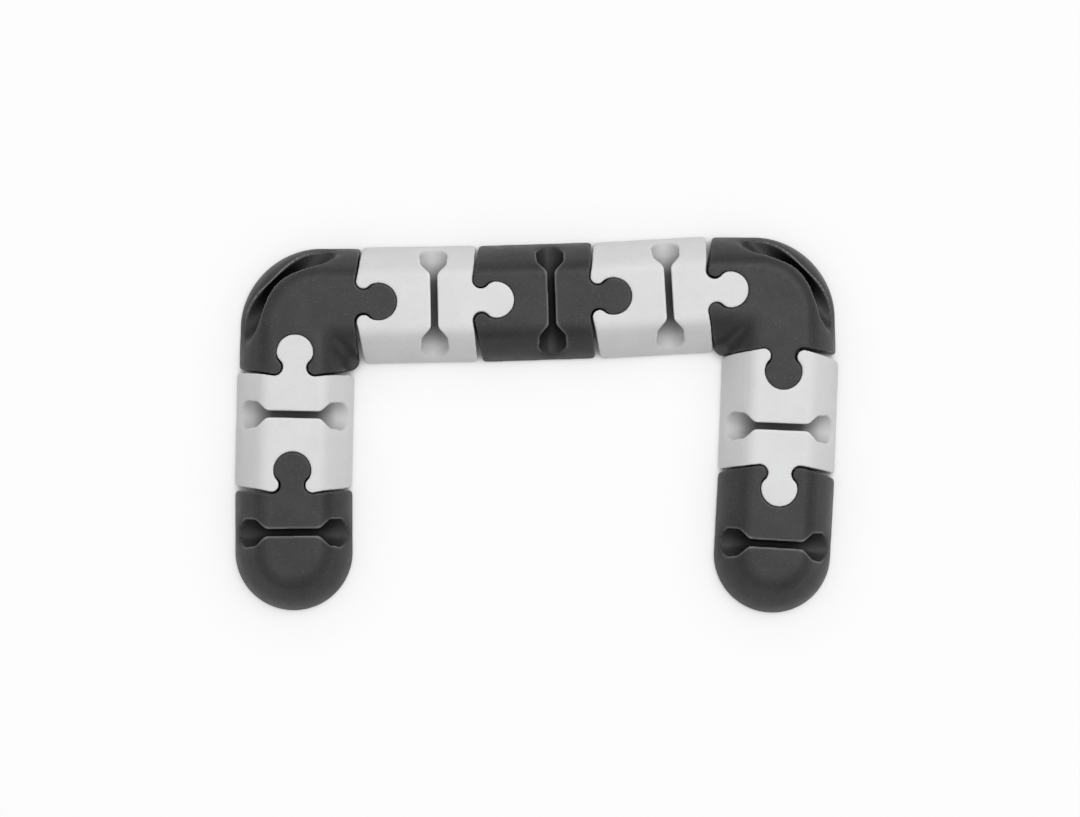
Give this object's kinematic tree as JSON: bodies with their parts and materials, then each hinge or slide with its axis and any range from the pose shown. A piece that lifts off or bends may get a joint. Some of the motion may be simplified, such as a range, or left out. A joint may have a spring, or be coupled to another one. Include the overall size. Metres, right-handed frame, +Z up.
{
  "type": "desk cable spine",
  "caption": "Chain of soft rubber desk modules that interlock like jigsaw pieces and bend in an arch, each with a slotted channel that holds a cable.",
  "frame": {"origin": "centre of the footprint on the desk, at the undersides of the pads", "axes": "+Z up from the desk; +X from the leg with the socketless cap to the leg with the knobless cap, along the top of the arch; +Y from the open side of the arch to its closed side"},
  "size_m": [0.1242, 0.0776, 0.0097],
  "materials": {
    "dark_rubber": "soft matt, charcoal grey",
    "pale_rubber": "soft matt, pale grey",
    "pad": "matt film over thin foam"
  },
  "bodies": {
    "left_end": {"left_end_cap": "dark_rubber", "left_end_cap_pad": "pad"},
    "left_leg": {"left_leg_link": "pale_rubber", "left_leg_link_pad": "pad"},
    "left_bend": {"left_corner": "dark_rubber", "left_corner_pad": "pad"},
    "left_top": {"left_top_link": "pale_rubber", "left_top_link_pad": "pad"},
    "middle": {"middle_link": "dark_rubber", "middle_link_pad": "pad"},
    "right_top": {"right_top_link": "pale_rubber", "right_top_link_pad": "pad"},
    "right_bend": {"right_corner": "dark_rubber", "right_corner_pad": "pad"},
    "right_leg": {"right_leg_link": "pale_rubber", "right_leg_link_pad": "pad"},
    "right_end": {"right_end_cap": "dark_rubber", "right_end_cap_pad": "pad"}
  },
  "joints": [
    {"name": "left_end_cap_swivel", "type": "hinge", "parent": "left_leg", "child": "left_end", "pos_m": [-0.0501, -0.00996, 0.005], "axis": [0, 0, 1], "range_deg": [-5, 2]},
    {"name": "left_leg_link_swivel", "type": "hinge", "parent": "left_bend", "child": "left_leg", "pos_m": [-0.04964, 0.01404, 0.005], "axis": [0, 0, 1], "range_deg": [-3.1, 3.9]},
    {"name": "left_corner_swivel", "type": "hinge", "parent": "left_top", "child": "left_bend", "pos_m": [-0.03272, 0.02449, 0.005], "axis": [0, 0, 1], "range_deg": [-1.8, 5.2]},
    {"name": "left_top_link_swivel", "type": "hinge", "parent": "middle", "child": "left_top", "pos_m": [-0.00872, 0.02491, 0.005], "axis": [0, 0, 1], "range_deg": [-2.6, 4.4]},
    {"name": "right_top_link_swivel", "type": "hinge", "parent": "middle", "child": "right_top", "pos_m": [0.01527, 0.02571, 0.005], "axis": [0, 0, 1], "range_deg": [-4.9, 2.1]},
    {"name": "right_corner_swivel", "type": "hinge", "parent": "right_top", "child": "right_bend", "pos_m": [0.03923, 0.02709, 0.005], "axis": [0, 0, 1], "range_deg": [-0.8, 6.2]},
    {"name": "right_leg_link_swivel", "type": "hinge", "parent": "right_bend", "child": "right_leg", "pos_m": [0.05006, 0.0104, 0.005], "axis": [0, 0, 1], "range_deg": [-0.5, 6.5]},
    {"name": "right_end_cap_swivel", "type": "hinge", "parent": "right_leg", "child": "right_end", "pos_m": [0.04906, -0.01357, 0.005], "axis": [0, 0, 1], "range_deg": [-2.5, 4.5]}
  ]
}
